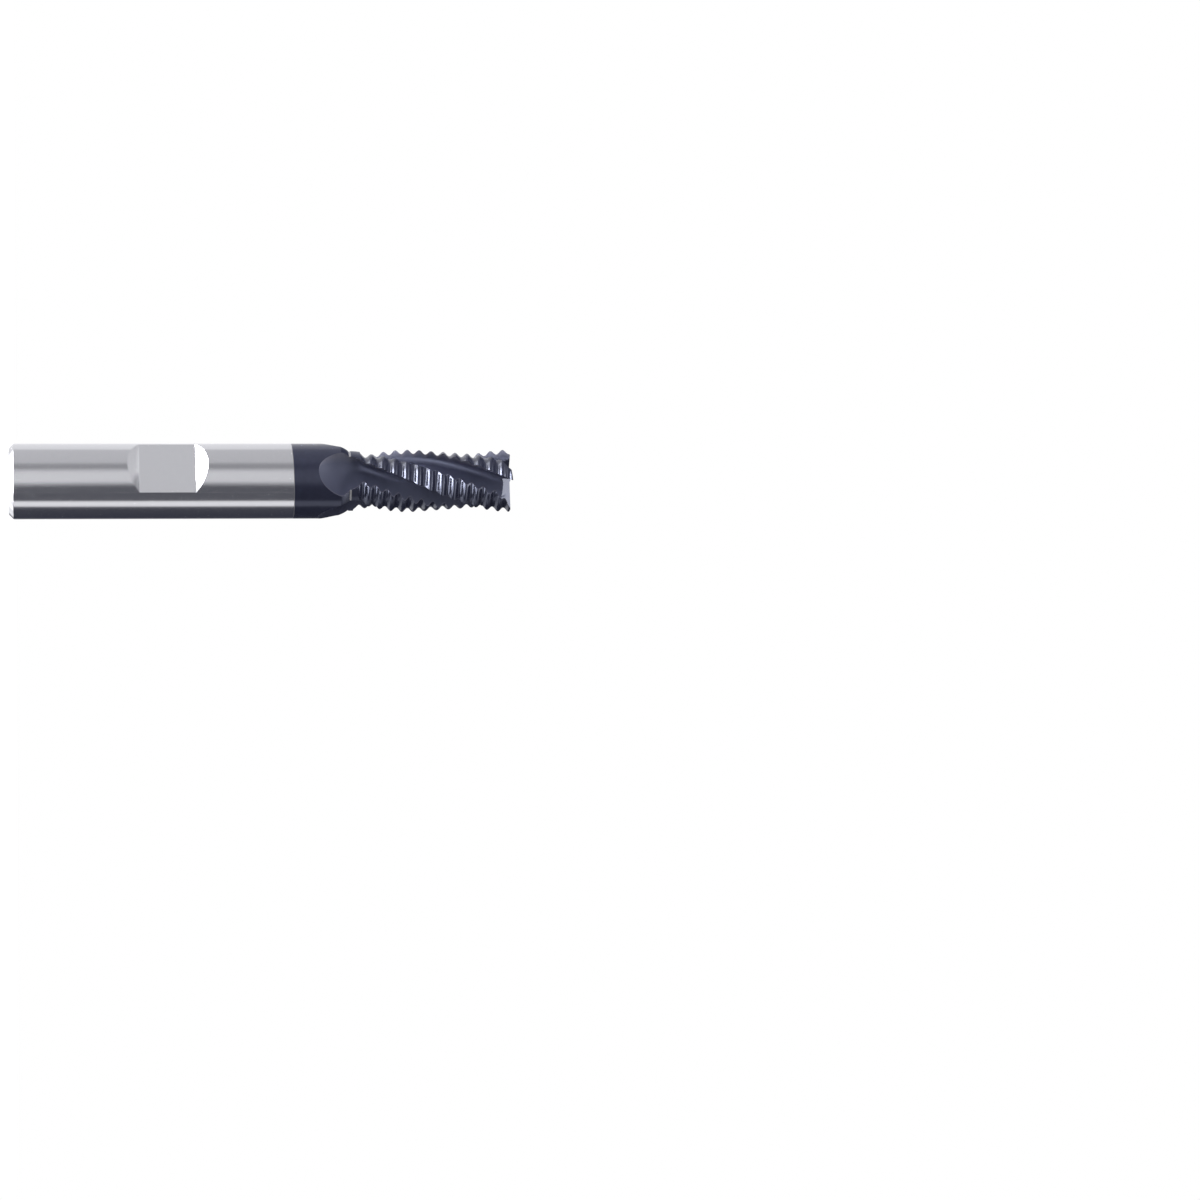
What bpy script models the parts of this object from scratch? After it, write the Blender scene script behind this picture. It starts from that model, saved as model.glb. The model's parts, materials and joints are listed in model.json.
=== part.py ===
# Roughing end mill: one piece of ground high-speed steel with four right-hand helical
# flutes, rounded knuckle teeth along the lands and a round shank with one clamping flat.
# Metres, +Z up.  The tool stands on its shank end: z = 0 is the shank end face, the
# cutting end is at the top and the clamping flat faces -Y.

import math

import bmesh
import bpy
from mathutils import Vector

MM = 0.001

# Sizes over all
TOTAL_LENGTH = 63.5 * MM          # 2-1/2 inch
SHANK_DIAMETER = 9.525 * MM       # 3/8 inch
CUT_DIAMETER = 7.9375 * MM        # 5/16 inch, over the crests of the teeth
SHANK_CHAMFER = 0.60 * MM

# Clamping flat
FLAT_LENGTH = 7.10 * MM           # level part
FLAT_MIDDLE = 19.84 * MM          # its middle, from the shank end
FLAT_DEPTH = 1.50 * MM            # under the shank surface
FLAT_RAMP_ANGLE = 45.0            # slope of its two ends, degrees

# Neck between shank and teeth
TOOTHED_LENGTH = 19.25 * MM       # lands with knuckle teeth, up to the cutting end
PLAIN_LAND_LENGTH = 1.35 * MM     # smooth land between shoulder and teeth
PLAIN_LAND_TAPER = 0.20 * MM      # how much the smooth land narrows towards the teeth
LAND_LIP = 0.10 * MM              # small raised edge where the smooth land begins
SHOULDER_LENGTH = 1.25 * MM       # rounded shoulder between shank and smooth land
SHOULDER_BULGE = 0.12 * MM        # how far it stands out of a straight slope

# Flutes and lands
FLUTES = 4
FLUTE_LEAD = 52.5 * MM            # length of one full turn, right-hand
END_EDGE_ANGLE = 29.8             # where one cutting edge reaches the end, from +X
RAKE_ANGLE = 10.0                 # cutting face leans back under its edge
ROOT_RADIUS = 0.75 * MM           # round at the foot of the cutting face
FLOOR_HEIGHT = 2.20 * MM          # back of the flute, from the middle line
FLOOR_HOLLOW = 16.0 * MM          # radius of its slight hollow
LAND_ANGLE = 50.0                 # reach of the relieved land behind a cutting edge
RELIEF_DROP = 0.515 * MM          # fall of the land over that angle

# Knuckle teeth: a round thread form, left-hand, one pitch to a turn, so that each
# land carries its crests a quarter of a pitch off its neighbour
KNUCKLE_PITCH = 1.524 * MM        # 0.060 inch
KNUCKLE_DEPTH = 0.50 * MM
KNUCKLE_START = 0.895 * MM        # height of a crest on the +X side
ROWS_PER_PITCH = 8

# Where the flutes run out into the shank
RUNOUT_LENGTH = 5.47 * MM         # beyond the first tooth
RUNOUT_LEAD_IN = 0.95 * MM        # the floor starts to rise this far inside the teeth
RUNOUT_TURN = 30.0                # middle of the scoop ahead of the cutting edge
RUNOUT_HOLLOW = 7.0 * MM          # hollow of the scoop across the tool
RUNOUT_NEAR_HOLLOW = 3.0 * MM     # tighter on the side of the cutting edge

# End teeth
CORNER_ROUND = 0.35 * MM          # round where the lands meet the end
GASH_DEPTH = 1.50 * MM            # notch in front of each end tooth, at its root
GASH_ROOT = 1.35 * MM             # the root's distance inside the crests
GASH_SLOPE = 43.0                 # rise of its floor towards the middle, degrees
GASH_SIDE_SLOPE = 4.0             # rise of its floor across the flute, degrees
END_RELIEF = 6.0                  # end teeth fall away behind their edges, degrees
END_DISH = 2.5                    # and are a little lower at the middle, degrees

SHANK_SIDES = 72

SHANK_R = SHANK_DIAMETER / 2
CUT_R = CUT_DIAMETER / 2
TEETH_Z = TOTAL_LENGTH - TOOTHED_LENGTH
LAND_Z = TEETH_Z - PLAIN_LAND_LENGTH
SHOULDER_Z = LAND_Z - SHOULDER_LENGTH
FLAT_HEIGHT = SHANK_R - FLAT_DEPTH
OUTSIDE = SHANK_R * 1.25
SECTOR = 360.0 / FLUTES
TURN_PER_LENGTH = 360.0 / FLUTE_LEAD


def clear_scene():
    for thing in list(bpy.data.objects):
        bpy.data.objects.remove(thing, do_unlink=True)


def link_mesh(name, bm):
    bmesh.ops.triangulate(bm, faces=bm.faces)
    bmesh.ops.recalc_face_normals(bm, faces=bm.faces)
    mesh = bpy.data.meshes.new(name)
    bm.to_mesh(mesh)
    bm.free()
    thing = bpy.data.objects.new(name, mesh)
    bpy.context.collection.objects.link(thing)
    return thing


def skin(bm, rings):
    """Wall through a list of rings with equally many points, closed at the first ring."""
    grid = [[bm.verts.new(point) for point in ring] for ring in rings]
    count = len(grid[0])
    for low, high in zip(grid, grid[1:]):
        for i in range(count):
            k = (i + 1) % count
            bm.faces.new((low[i], low[k], high[k], high[i]))
    bm.faces.new(grid[0])
    return grid[-1]


def loft(name, rings):
    """Closed solid through a list of rings."""
    bm = bmesh.new()
    last = skin(bm, rings)
    bm.faces.new(last)
    return link_mesh(name, bm)


def boolean(target, cutter, operation):
    """Apply one exact Boolean and drop the cutter."""
    cutter.hide_render = True
    cutter.display_type = 'WIRE'
    modifier = target.modifiers.new(operation.title(), 'BOOLEAN')
    modifier.operation = operation
    modifier.solver = 'EXACT'
    modifier.object = cutter
    depsgraph = bpy.context.evaluated_depsgraph_get()
    mesh = bpy.data.meshes.new_from_object(target.evaluated_get(depsgraph))
    target.modifiers.clear()
    old = target.data
    target.data = mesh
    bpy.data.meshes.remove(old)
    bpy.data.objects.remove(cutter, do_unlink=True)


def circle(radius, z, sides):
    return [
        Vector((radius * math.cos(2 * math.pi * i / sides),
                radius * math.sin(2 * math.pi * i / sides), z))
        for i in range(sides)
    ]


def turned_blank():
    """Shank and rounded shoulder, with a stub that reaches under the lands."""
    foot_r = CUT_R - LAND_LIP
    foot_z = LAND_Z - LAND_LIP
    middle_r = (SHANK_R + foot_r) / 2 + SHOULDER_BULGE
    middle_z = (SHOULDER_Z + foot_z) / 2 + SHOULDER_BULGE
    stub_r = FLOOR_HEIGHT + ROOT_RADIUS
    outline = [
        (SHANK_R - SHANK_CHAMFER, 0.0),
        (SHANK_R, SHANK_CHAMFER),
        (SHANK_R, SHOULDER_Z),
        (middle_r, middle_z),
        (foot_r, foot_z),
        (stub_r, foot_z),
        (stub_r, LAND_Z + LAND_LIP),
    ]
    return loft("turned", [circle(r, z, SHANK_SIDES) for r, z in outline])


def edge_angle(z):
    """Angle of the cutting edge of tooth 0 at height z, degrees."""
    return END_EDGE_ANGLE + (z - TOTAL_LENGTH) * TURN_PER_LENGTH


def relieved_radius(behind):
    """Crest radius at an angle behind the cutting edge."""
    return CUT_R - RELIEF_DROP * behind / LAND_ANGLE


def knuckle(z, angle):
    """How deep the round thread form is cut at a height and angle."""
    phase = (z - KNUCKLE_START) / KNUCKLE_PITCH + angle / 360.0
    return KNUCKLE_DEPTH * (1 - math.cos(2 * math.pi * phase)) / 2


def corner_drop(z):
    """How far the round at the end takes the lands in at a height."""
    into = min(1.0, max(0.0, (z - TOTAL_LENGTH) / CORNER_ROUND + 1))
    return CORNER_ROUND * (1 - math.sqrt(1 - into ** 2))


def land_radius(z, tooth, behind):
    """Radius of one land at a height and an angle behind its cutting edge.

    The smooth land comes first.  The knuckle form and the relief begin a little past a
    crest, and a quarter of a pitch earlier on every next tooth, as the thread runs."""
    quarters = (tooth + 1) % FLUTES - 1
    start = TEETH_Z - KNUCKLE_PITCH * quarters / FLUTES
    if z < start:
        return CUT_R - PLAIN_LAND_TAPER * (z - LAND_Z) / PLAIN_LAND_LENGTH
    angle = edge_angle(z) + tooth * SECTOR - behind
    return relieved_radius(behind) - knuckle(z, angle) - corner_drop(z)


def toothed_blank():
    """Smooth and toothed lands, before the flutes are cut."""
    gap = SECTOR - LAND_ANGLE
    columns = [-LAND_ANGLE * share for share in (1.0, 0.76, 0.5, 0.25, 0.0)]
    columns += [gap * share for share in (0.06, 0.55)]
    lean = 1 + KNUCKLE_PITCH * TURN_PER_LENGTH / 360.0
    row_height = KNUCKLE_PITCH / lean / ROWS_PER_PITCH
    rows = int(math.ceil((TOTAL_LENGTH - LAND_Z) / row_height))
    lip_r = CUT_R - LAND_LIP
    rings = []
    for row in range(-1, rows + 1):
        z_row = max(LAND_Z, TOTAL_LENGTH - (rows - row) * row_height)
        near_start = min(1.0, (z_row - LAND_Z) / KNUCKLE_PITCH)
        near_end = max(0.0, 1 - (TOTAL_LENGTH - z_row) / KNUCKLE_PITCH)
        ring = []
        for tooth in range(FLUTES):
            for ahead in columns:
                behind = max(0.0, -ahead)
                fall = CUT_R * math.radians(behind) * math.tan(math.radians(END_RELIEF))
                shift = -KNUCKLE_PITCH * ahead / 360.0 / lean
                z = z_row + shift * near_start * (1 - near_end) - fall * near_end
                radius = land_radius(z, tooth, behind)
                if ahead > 0:
                    radius = CUT_R - RELIEF_DROP * (ahead / gap) ** 2
                if row < 0:
                    z = LAND_Z - LAND_LIP
                    radius = lip_r
                turn = math.radians(edge_angle(z) + tooth * SECTOR + ahead)
                ring.append(Vector((radius * math.cos(turn), radius * math.sin(turn), z)))
        rings.append(ring)
    bm = bmesh.new()
    top = skin(bm, rings)
    dish = CUT_R * math.tan(math.radians(END_DISH))
    middle = bm.verts.new((0.0, 0.0, TOTAL_LENGTH - dish))
    for i in range(len(top)):
        bm.faces.new((top[i], top[(i + 1) % len(top)], middle))
    return link_mesh("toothed", bm)


def flute_section():
    """Flute outline square to the tool; x runs out through the cutting edge."""
    lean = math.radians(RAKE_ANGLE)
    corner = math.radians(90.0 - RAKE_ANGLE)
    reach = (CUT_R - FLOOR_HEIGHT) / math.cos(lean)
    foot = reach - ROOT_RADIUS / math.tan(corner / 2)
    points = []
    over = OUTSIDE - CUT_R
    for along in (over, over * 0.35, 0.0, -foot / 2):
        points.append((CUT_R + along * math.cos(lean), along * math.sin(lean)))
    centre_y = -reach * math.sin(lean) + ROOT_RADIUS / math.tan(corner / 2)
    centre_x = FLOOR_HEIGHT + ROOT_RADIUS
    steps = 4
    for i in range(steps + 1):
        turn = math.radians(-90 + RAKE_ANGLE) - (math.pi - corner) * i / steps
        points.append((centre_x + ROOT_RADIUS * math.cos(turn),
                       centre_y + ROOT_RADIUS * math.sin(turn)))
    far = OUTSIDE * 0.95
    steps = 7
    for i in range(1, steps + 1):
        y = centre_y + (far - centre_y) * i / steps
        rise = (y - centre_y) ** 2 / (2 * FLOOR_HOLLOW)
        points.append((FLOOR_HEIGHT + rise, y))
    return points


def scoop_section(height, count):
    """Outline of the run-out across the tool; its floor lies at this height."""
    near = -SHANK_R * 0.68
    wall_foot = near * 0.84
    far = SHANK_R * 0.85
    wall = 4
    points = []
    for i in range(count):
        if i < wall:
            y = near + (wall_foot - near) * i / wall
        else:
            y = wall_foot + (far - wall_foot) * (i - wall) / (count - 1 - wall)
        hollow = RUNOUT_NEAR_HOLLOW if y < 0 else RUNOUT_HOLLOW
        points.append((height + y * y / (2 * hollow), y))
    return points


def smooth(value):
    value = min(1.0, max(0.0, value))
    return value * value * (3 - 2 * value)


def flute_cutter(tooth):
    """One flute with its run-out, as a closed body swept up the tool."""
    section = flute_section()
    low = TEETH_Z - RUNOUT_LENGTH
    full = TEETH_Z + RUNOUT_LEAD_IN
    hold = TEETH_Z - PLAIN_LAND_LENGTH / 2
    depth = SHANK_R - FLOOR_HEIGHT
    length = full - low
    wheel = (length ** 2 + depth ** 2) / (2 * depth)
    overrun = 0.09
    blend_length = length * 0.62
    degrees_per_ring = 7.5
    steps = 13
    heights = [low + length * (i / steps - overrun) for i in range(steps)]
    turns = int(round((TOTAL_LENGTH - full) * TURN_PER_LENGTH / degrees_per_ring))
    end = TOTAL_LENGTH + MM
    heights += [full + (end - full) * i / turns for i in range(turns + 1)]
    rings = []
    for z in heights:
        back = max(0.0, full - z)
        lift = wheel - math.sqrt(wheel ** 2 - back ** 2)
        blend = smooth(back / blend_length)
        scoop = scoop_section(FLOOR_HEIGHT + lift, len(section))
        edge = math.radians(edge_angle(max(z, hold)) + tooth * SECTOR)
        aim = math.radians(edge_angle(hold) + RUNOUT_TURN + tooth * SECTOR)
        ring = []
        for (x0, y0), (x1, y1) in zip(section, scoop):
            ax = x0 * math.cos(edge) - y0 * math.sin(edge)
            ay = x0 * math.sin(edge) + y0 * math.cos(edge)
            bx = x1 * math.cos(aim) - y1 * math.sin(aim)
            by = x1 * math.sin(aim) + y1 * math.cos(aim)
            ring.append(Vector((ax + (bx - ax) * blend, ay + (by - ay) * blend, z)))
        first = ring[0].copy()
        last = ring[-1].copy()
        middle = (first + last) / 2
        outward = Vector((middle.x, middle.y, 0.0)).normalized() * OUTSIDE
        ring.append(last + outward)
        ring.append(first + outward)
        rings.append(ring)
    return loft("flute cutter", rings)


def gash_cutter(tooth):
    """Notch in front of one end tooth: an upright wall and a sloping floor."""
    turn = math.radians(END_EDGE_ANGLE + tooth * SECTOR)
    lean = math.radians(RAKE_ANGLE)
    top = TOTAL_LENGTH + 2.0 * MM
    root = CUT_R - GASH_ROOT

    def floor_z(x, y):
        towards_middle = (root - x) * math.tan(math.radians(GASH_SLOPE))
        across = y * math.tan(math.radians(GASH_SIDE_SLOPE))
        return TOTAL_LENGTH - GASH_DEPTH + towards_middle + across

    def wall_y(x):
        return (x - CUT_R) * math.tan(lean)

    inner = -CUT_R * 0.2
    outer = CUT_R * 1.3
    wide = CUT_R * 1.2
    plan = [(inner, wall_y(inner)), (outer, wall_y(outer)), (outer, wide), (inner, wide)]
    low_ring = []
    high_ring = []
    for x, y in plan:
        px = x * math.cos(turn) - y * math.sin(turn)
        py = x * math.sin(turn) + y * math.cos(turn)
        low_ring.append(Vector((px, py, floor_z(x, y))))
        high_ring.append(Vector((px, py, max(top, floor_z(x, y) + MM))))
    return loft("gash cutter", [low_ring, high_ring])


def flat_cutter():
    """Block with two sloping ends that leaves the clamping flat on the -Y side."""
    ramp = FLAT_DEPTH * 2 / math.tan(math.radians(FLAT_RAMP_ANGLE))
    half = FLAT_LENGTH / 2
    side = SHANK_R * 1.2
    outer = FLAT_HEIGHT + FLAT_DEPTH * 2
    profile = [
        (-FLAT_HEIGHT, FLAT_MIDDLE - half),
        (-FLAT_HEIGHT, FLAT_MIDDLE + half),
        (-outer, FLAT_MIDDLE + half + ramp),
        (-outer, FLAT_MIDDLE - half - ramp),
    ]
    rings = [[Vector((x, y, z)) for y, z in profile] for x in (-side, side)]
    return loft("flat cutter", rings)


def steel_material():
    material = bpy.data.materials.new("tool_steel")
    material.use_nodes = True
    shader = material.node_tree.nodes["Principled BSDF"]
    shader.inputs["Base Color"].default_value = (0.30, 0.30, 0.33, 1.0)
    shader.inputs["Metallic"].default_value = 1.0
    shader.inputs["Roughness"].default_value = 0.32
    return material


def build():
    clear_scene()
    tool = turned_blank()
    boolean(tool, toothed_blank(), 'UNION')
    for tooth in range(FLUTES):
        boolean(tool, flute_cutter(tooth), 'DIFFERENCE')
    for tooth in range(FLUTES):
        boolean(tool, gash_cutter(tooth), 'DIFFERENCE')
    boolean(tool, flat_cutter(), 'DIFFERENCE')
    tool.name = "end_mill"
    tool.data.name = "end_mill"
    bm = bmesh.new()
    bm.from_mesh(tool.data)
    bmesh.ops.remove_doubles(bm, verts=bm.verts, dist=0.002 * MM)
    bm.to_mesh(tool.data)
    bm.free()
    tool.data.materials.clear()
    tool.data.materials.append(steel_material())
    for polygon in tool.data.polygons:
        polygon.material_index = 0
    tool.data.shade_smooth()
    tool.data.set_sharp_from_angle(angle=math.radians(32))


build()
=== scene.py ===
# %% [markdown]
# # A roughing end mill
#
# A roughing end mill is a milling cutter for taking metal off fast. It is one bar of
# high-speed steel: a bright round shank that a holder grips, a flat on it for the holder's
# clamping screw, and a dark coated cutting end. Four right-hand flutes wind up the cutting
# end, and the lands between them carry rounded teeth like a coarse thread.
#
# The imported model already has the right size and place. This script loads it as a frame,
# models the same tool with a finer skin, and gives that skin its ground and coated finish.

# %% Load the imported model
import json
import math

import bmesh
import bpy
import numpy as np
from mathutils import Matrix, Vector

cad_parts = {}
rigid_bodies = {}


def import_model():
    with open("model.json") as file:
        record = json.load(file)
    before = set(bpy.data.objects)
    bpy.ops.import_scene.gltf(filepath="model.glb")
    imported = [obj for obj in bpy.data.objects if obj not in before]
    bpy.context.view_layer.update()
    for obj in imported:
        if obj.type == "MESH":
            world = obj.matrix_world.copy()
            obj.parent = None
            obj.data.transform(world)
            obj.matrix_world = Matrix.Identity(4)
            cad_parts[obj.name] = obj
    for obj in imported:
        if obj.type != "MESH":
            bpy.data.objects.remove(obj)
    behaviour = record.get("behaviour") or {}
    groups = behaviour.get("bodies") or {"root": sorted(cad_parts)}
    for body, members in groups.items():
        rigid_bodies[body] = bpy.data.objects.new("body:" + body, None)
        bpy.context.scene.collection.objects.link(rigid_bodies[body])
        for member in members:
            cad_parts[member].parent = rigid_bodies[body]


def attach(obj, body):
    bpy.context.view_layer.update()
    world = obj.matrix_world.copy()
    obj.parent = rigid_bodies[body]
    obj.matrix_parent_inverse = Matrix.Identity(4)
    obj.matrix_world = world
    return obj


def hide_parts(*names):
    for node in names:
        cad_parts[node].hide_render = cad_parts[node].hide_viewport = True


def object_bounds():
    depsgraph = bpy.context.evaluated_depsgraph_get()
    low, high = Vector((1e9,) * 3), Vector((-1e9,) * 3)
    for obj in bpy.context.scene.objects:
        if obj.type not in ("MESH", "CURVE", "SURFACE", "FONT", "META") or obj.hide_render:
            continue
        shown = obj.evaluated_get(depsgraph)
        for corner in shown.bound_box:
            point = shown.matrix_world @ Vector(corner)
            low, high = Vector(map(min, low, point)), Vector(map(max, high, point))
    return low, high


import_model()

MM = 0.001
NODE = "end_mill"

cad_low, cad_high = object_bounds()
TOTAL_LENGTH = cad_high[2] - cad_low[2]
SHANK_R = (cad_high[0] - cad_low[0]) / 2
print("length", round(TOTAL_LENGTH / MM, 3), "mm, shank", round(2 * SHANK_R / MM, 3), "mm")

# %% [markdown]
# ## The camera
#
# The photograph looks at the tool from far off, square to its side and a little from the
# shank end, with the cutting end to the right. Here the tool stands on its shank, so the
# camera is turned on its side. A long lens far away gives the same flat perspective. Two
# directions say how the camera is turned, its right and the way back from it, and its up
# follows from them.

# %% Camera
CAMERA_PLACE = Vector((0.280126, -0.490496, 0.002822))
CAMERA_RIGHT = Vector((0.064157, -0.109398, 0.991925))
CAMERA_BACK = Vector((0.468462, -0.874347, -0.12673))
LENS_MM = 133.424
SENSOR_MM = 36.0
NEAREST_SEEN = 0.01
FARTHEST_SEEN = 20.0


def make_camera():
    back = CAMERA_BACK.normalized()
    up = back.cross(CAMERA_RIGHT).normalized()
    right = up.cross(back)
    turn = Matrix((right, up, back)).transposed().to_4x4()
    bpy.ops.object.camera_add()
    camera = bpy.context.object
    camera.name = "camera"
    camera.matrix_world = Matrix.Translation(CAMERA_PLACE) @ turn
    camera.data.lens = LENS_MM
    camera.data.sensor_width = SENSOR_MM
    camera.data.clip_start = NEAREST_SEEN
    camera.data.clip_end = FARTHEST_SEEN
    bpy.context.scene.camera = camera
    return camera


camera = make_camera()
print("camera", round(camera.location.length, 3), "m from the shank end")

# %% [markdown]
# ## Helpers
#
# Operators act on whatever is selected, so each step starts by selecting only its own
# object. Faces, edges and points are then picked in code, by where they lie.

# %% Selecting and cutting
def only(thing):
    """Select one object alone and make it active."""
    for other in bpy.context.view_layer.objects:
        other.select_set(other is thing)
    bpy.context.view_layer.objects.active = thing


def pick(thing, kind, test):
    """In edit mode, select the edges or faces whose middle passes the test."""
    bpy.ops.mesh.select_mode(type={"edges": 'EDGE', "faces": 'FACE'}[kind])
    bpy.ops.mesh.select_all(action='DESELECT')
    bm = bmesh.from_edit_mesh(thing.data)
    for part in getattr(bm, kind):
        points = [vertex.co for vertex in part.verts]
        middle = sum(points, Vector()) / len(points)
        part.select_set(bool(test(middle, part)))
    bm.select_flush_mode()
    bmesh.update_edit_mesh(thing.data)


def cut(thing, tool):
    """Cut a mesh with another one by an applied Boolean, and delete the cutter."""
    only(thing)
    modifier = thing.modifiers.new("cut", 'BOOLEAN')
    modifier.operation = 'DIFFERENCE'
    modifier.solver = 'EXACT'
    modifier.object = tool
    bpy.ops.object.modifier_apply(modifier=modifier.name)
    bpy.data.objects.remove(tool, do_unlink=True)


def neaten(thing, merge=None, split=False):
    """Merge points that fall together or split faces, and turn every face outward."""
    only(thing)
    bpy.ops.object.mode_set(mode='EDIT')
    bpy.ops.mesh.select_all(action='SELECT')
    if merge is not None:
        bpy.ops.mesh.remove_doubles(threshold=merge)
    if split:
        bpy.ops.mesh.quads_convert_to_tris()
    bpy.ops.mesh.normals_make_consistent(inside=False)
    bpy.ops.object.mode_set(mode='OBJECT')


def new_object(name, points, faces):
    """Object with a mesh of the given points and faces."""
    mesh = bpy.data.meshes.new(name)
    mesh.from_pydata(points, [], faces)
    thing = bpy.data.objects.new(name, mesh)
    bpy.context.collection.objects.link(thing)
    return thing


def faces_of(thing):
    return len(thing.data.polygons)


# %% [markdown]
# ## The sizes of the tool
#
# These are the sizes that a tool grinder would be given. The helix lead is the height in
# which a flute makes one full turn. The teeth are a round thread with one pitch to a turn,
# so each land has its crests a quarter of a pitch away from its neighbour's.

# %% Sizes
# Shank and clamping flat
SHANK_CHAMFER = 0.60 * MM
CHAMFER_ROUND = 0.05 * MM
FLAT_LENGTH = 7.10 * MM
FLAT_MIDDLE = 19.84 * MM
FLAT_DEPTH = 1.50 * MM

# Smooth lands and shoulder below the teeth
CUT_R = 7.9375 / 2 * MM
TEETH_Z = TOTAL_LENGTH - 19.25 * MM
LAND_Z = TEETH_Z - 1.35 * MM
SHOULDER_Z = LAND_Z - 1.25 * MM
LAND_TAPER = 0.20 * MM
LAND_LIP = 0.10 * MM
SHOULDER_BULGE = 0.12 * MM
FOOT_R = CUT_R - LAND_LIP
FOOT_Z = LAND_Z - LAND_LIP

# Flutes
FLUTES = 4
SECTOR = 360.0 / FLUTES
FLUTE_LEAD = 52.5 * MM
END_EDGE_ANGLE = 29.8
RAKE_ANGLE = 10.0
ROOT_RADIUS = 0.75 * MM
FLOOR_HEIGHT = 2.20 * MM
FLOOR_HOLLOW = 16.0 * MM
LAND_ANGLE = 50.0
RELIEF_DROP = 0.515 * MM

# Teeth
KNUCKLE_PITCH = 1.524 * MM
KNUCKLE_DEPTH = 0.50 * MM
KNUCKLE_START = 0.895 * MM

# Run-out of the flutes into the shank
RUNOUT_LENGTH = 5.47 * MM
RUNOUT_LEAD_IN = 0.95 * MM
RUNOUT_TURN = 30.0
RUNOUT_MIX = 0.62
SCOOP_NEAR = SHANK_R * 0.68
SCOOP_BEND = 0.84
SCOOP_FAR = SHANK_R * 0.85
SCOOP_HOLLOW = 7.0 * MM
SCOOP_NEAR_HOLLOW = 3.0 * MM
RUNOUT_Z = TEETH_Z - RUNOUT_LENGTH
FULL_Z = TEETH_Z + RUNOUT_LEAD_IN
HOLD_Z = (LAND_Z + TEETH_Z) / 2
HOLD_BLEND = 0.5 * MM

# End of the tool
GASH_DEPTH = 1.50 * MM
GASH_ROOT = 1.35 * MM
GASH_SLOPE = 43.0
GASH_SIDE_SLOPE = 4.0
CORNER_ROUND = 0.35 * MM
END_RELIEF = 6.0
END_DISH = 2.5

# Joint between the two halves of the model, and room around the tool
JOINT_Z = RUNOUT_Z - 1.0 * MM
OVERRUN = 0.6 * MM
OUTSIDE = SHANK_R * 1.25

# Fineness of the skin
LAND_STEPS = 24
FLUTE_STEPS = 28
FACE_STEPS = 7
ROWS_PER_PITCH = 20

# %% [markdown]
# ## The shank
#
# The shank is plain turned and ground bar, so it starts as a cylinder. The end gets its
# chamfer with a bevel, and the chamfer's two edges get a tiny one of their own, because no
# ground edge is perfectly sharp and the small round is what catches the light. Its sides
# match the columns of the fluted part, so that the two can be sewn together later.

# %% Shank
SHANK_SIDES = FLUTES * LAND_STEPS


def edge_angle(z):
    """Angle of the first cutting edge at a height, in degrees."""
    return END_EDGE_ANGLE + (z - TOTAL_LENGTH) * 360.0 / FLUTE_LEAD


RUNOUT_ANGLE = edge_angle(HOLD_Z) + RUNOUT_TURN


def make_shank():
    bpy.ops.mesh.primitive_cylinder_add(
        vertices=SHANK_SIDES, radius=SHANK_R, depth=JOINT_Z, end_fill_type='NGON',
        location=(0, 0, JOINT_Z / 2), rotation=(0, 0, math.radians(RUNOUT_ANGLE)),
    )
    shank = bpy.context.object
    shank.name = "shank"
    only(shank)
    bpy.ops.object.transform_apply(location=True, rotation=True, scale=True)
    bpy.ops.object.mode_set(mode='EDIT')
    pick(shank, "edges", lambda middle, edge: middle.z < MM / 10)
    bpy.ops.mesh.bevel(offset=SHANK_CHAMFER, segments=1, affect='EDGES', clamp_overlap=False)
    pick(shank, "edges", lambda middle, edge: middle.z < SHANK_CHAMFER * 1.01
         and abs(edge.verts[0].co.z - edge.verts[1].co.z) < MM / 100)
    bpy.ops.mesh.bevel(offset=CHAMFER_ROUND, segments=3, affect='EDGES')
    bpy.ops.object.mode_set(mode='OBJECT')
    return shank


shank = make_shank()
print("shank", faces_of(shank), "faces")

# %% [markdown]
# ## The clamping flat
#
# The flat is ground across the shank, level in the middle, with a slope at either end. A
# block is added, its outer side is stretched along the tool so that its ends slope at 45
# degrees, and then it is taken out of the shank.

# %% Clamping flat
def cut_flat(shank):
    reach = FLAT_DEPTH * 2
    bpy.ops.mesh.primitive_cube_add(size=1.0, location=(0, 0, 0))
    block = bpy.context.object
    block.scale = (SHANK_R * 2.4, reach, FLAT_LENGTH)
    block.location = (0, -(SHANK_R - FLAT_DEPTH) - reach / 2, FLAT_MIDDLE)
    only(block)
    bpy.ops.object.transform_apply(location=True, rotation=True, scale=True)
    bpy.ops.object.mode_set(mode='EDIT')
    pick(block, "faces", lambda middle, face: face.normal.y < -0.9)
    bpy.ops.transform.resize(
        value=(1, 1, (FLAT_LENGTH + 2 * reach) / FLAT_LENGTH),
        center_override=(0, 0, FLAT_MIDDLE),
    )
    bpy.ops.object.mode_set(mode='OBJECT')
    cut(shank, block)


cut_flat(shank)
print("shank with its flat", faces_of(shank), "faces")

# %% [markdown]
# ## The outside of the cutting end
#
# Before the flutes are thought of, the cutting end is a shape that depends on the height
# and on the angle round it. Numpy works on whole arrays of heights and angles at once, so
# one function can give the outside radius everywhere: the shank, the rounded shoulder, the
# small lip, the smooth land, and then the teeth, which fall away behind the cutting edge.
# Each land starts its teeth on a crest, so the starts lie quarters of a pitch apart.

# %% Outside radius
def shoulder_radius(z):
    """Rounded slope from the shank down to the foot of the smooth land."""
    share = np.clip((z - SHOULDER_Z) / (FOOT_Z - SHOULDER_Z), 0, 1)
    straight = SHANK_R + (FOOT_R - SHANK_R) * share
    return straight + SHOULDER_BULGE * 4 * share * (1 - share)


def knuckle(z, angle):
    """Depth of the round thread form at a height and an angle in degrees."""
    phase = (z - KNUCKLE_START) / KNUCKLE_PITCH + angle / 360.0
    return KNUCKLE_DEPTH * (1 - np.cos(2 * np.pi * phase)) / 2


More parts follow.
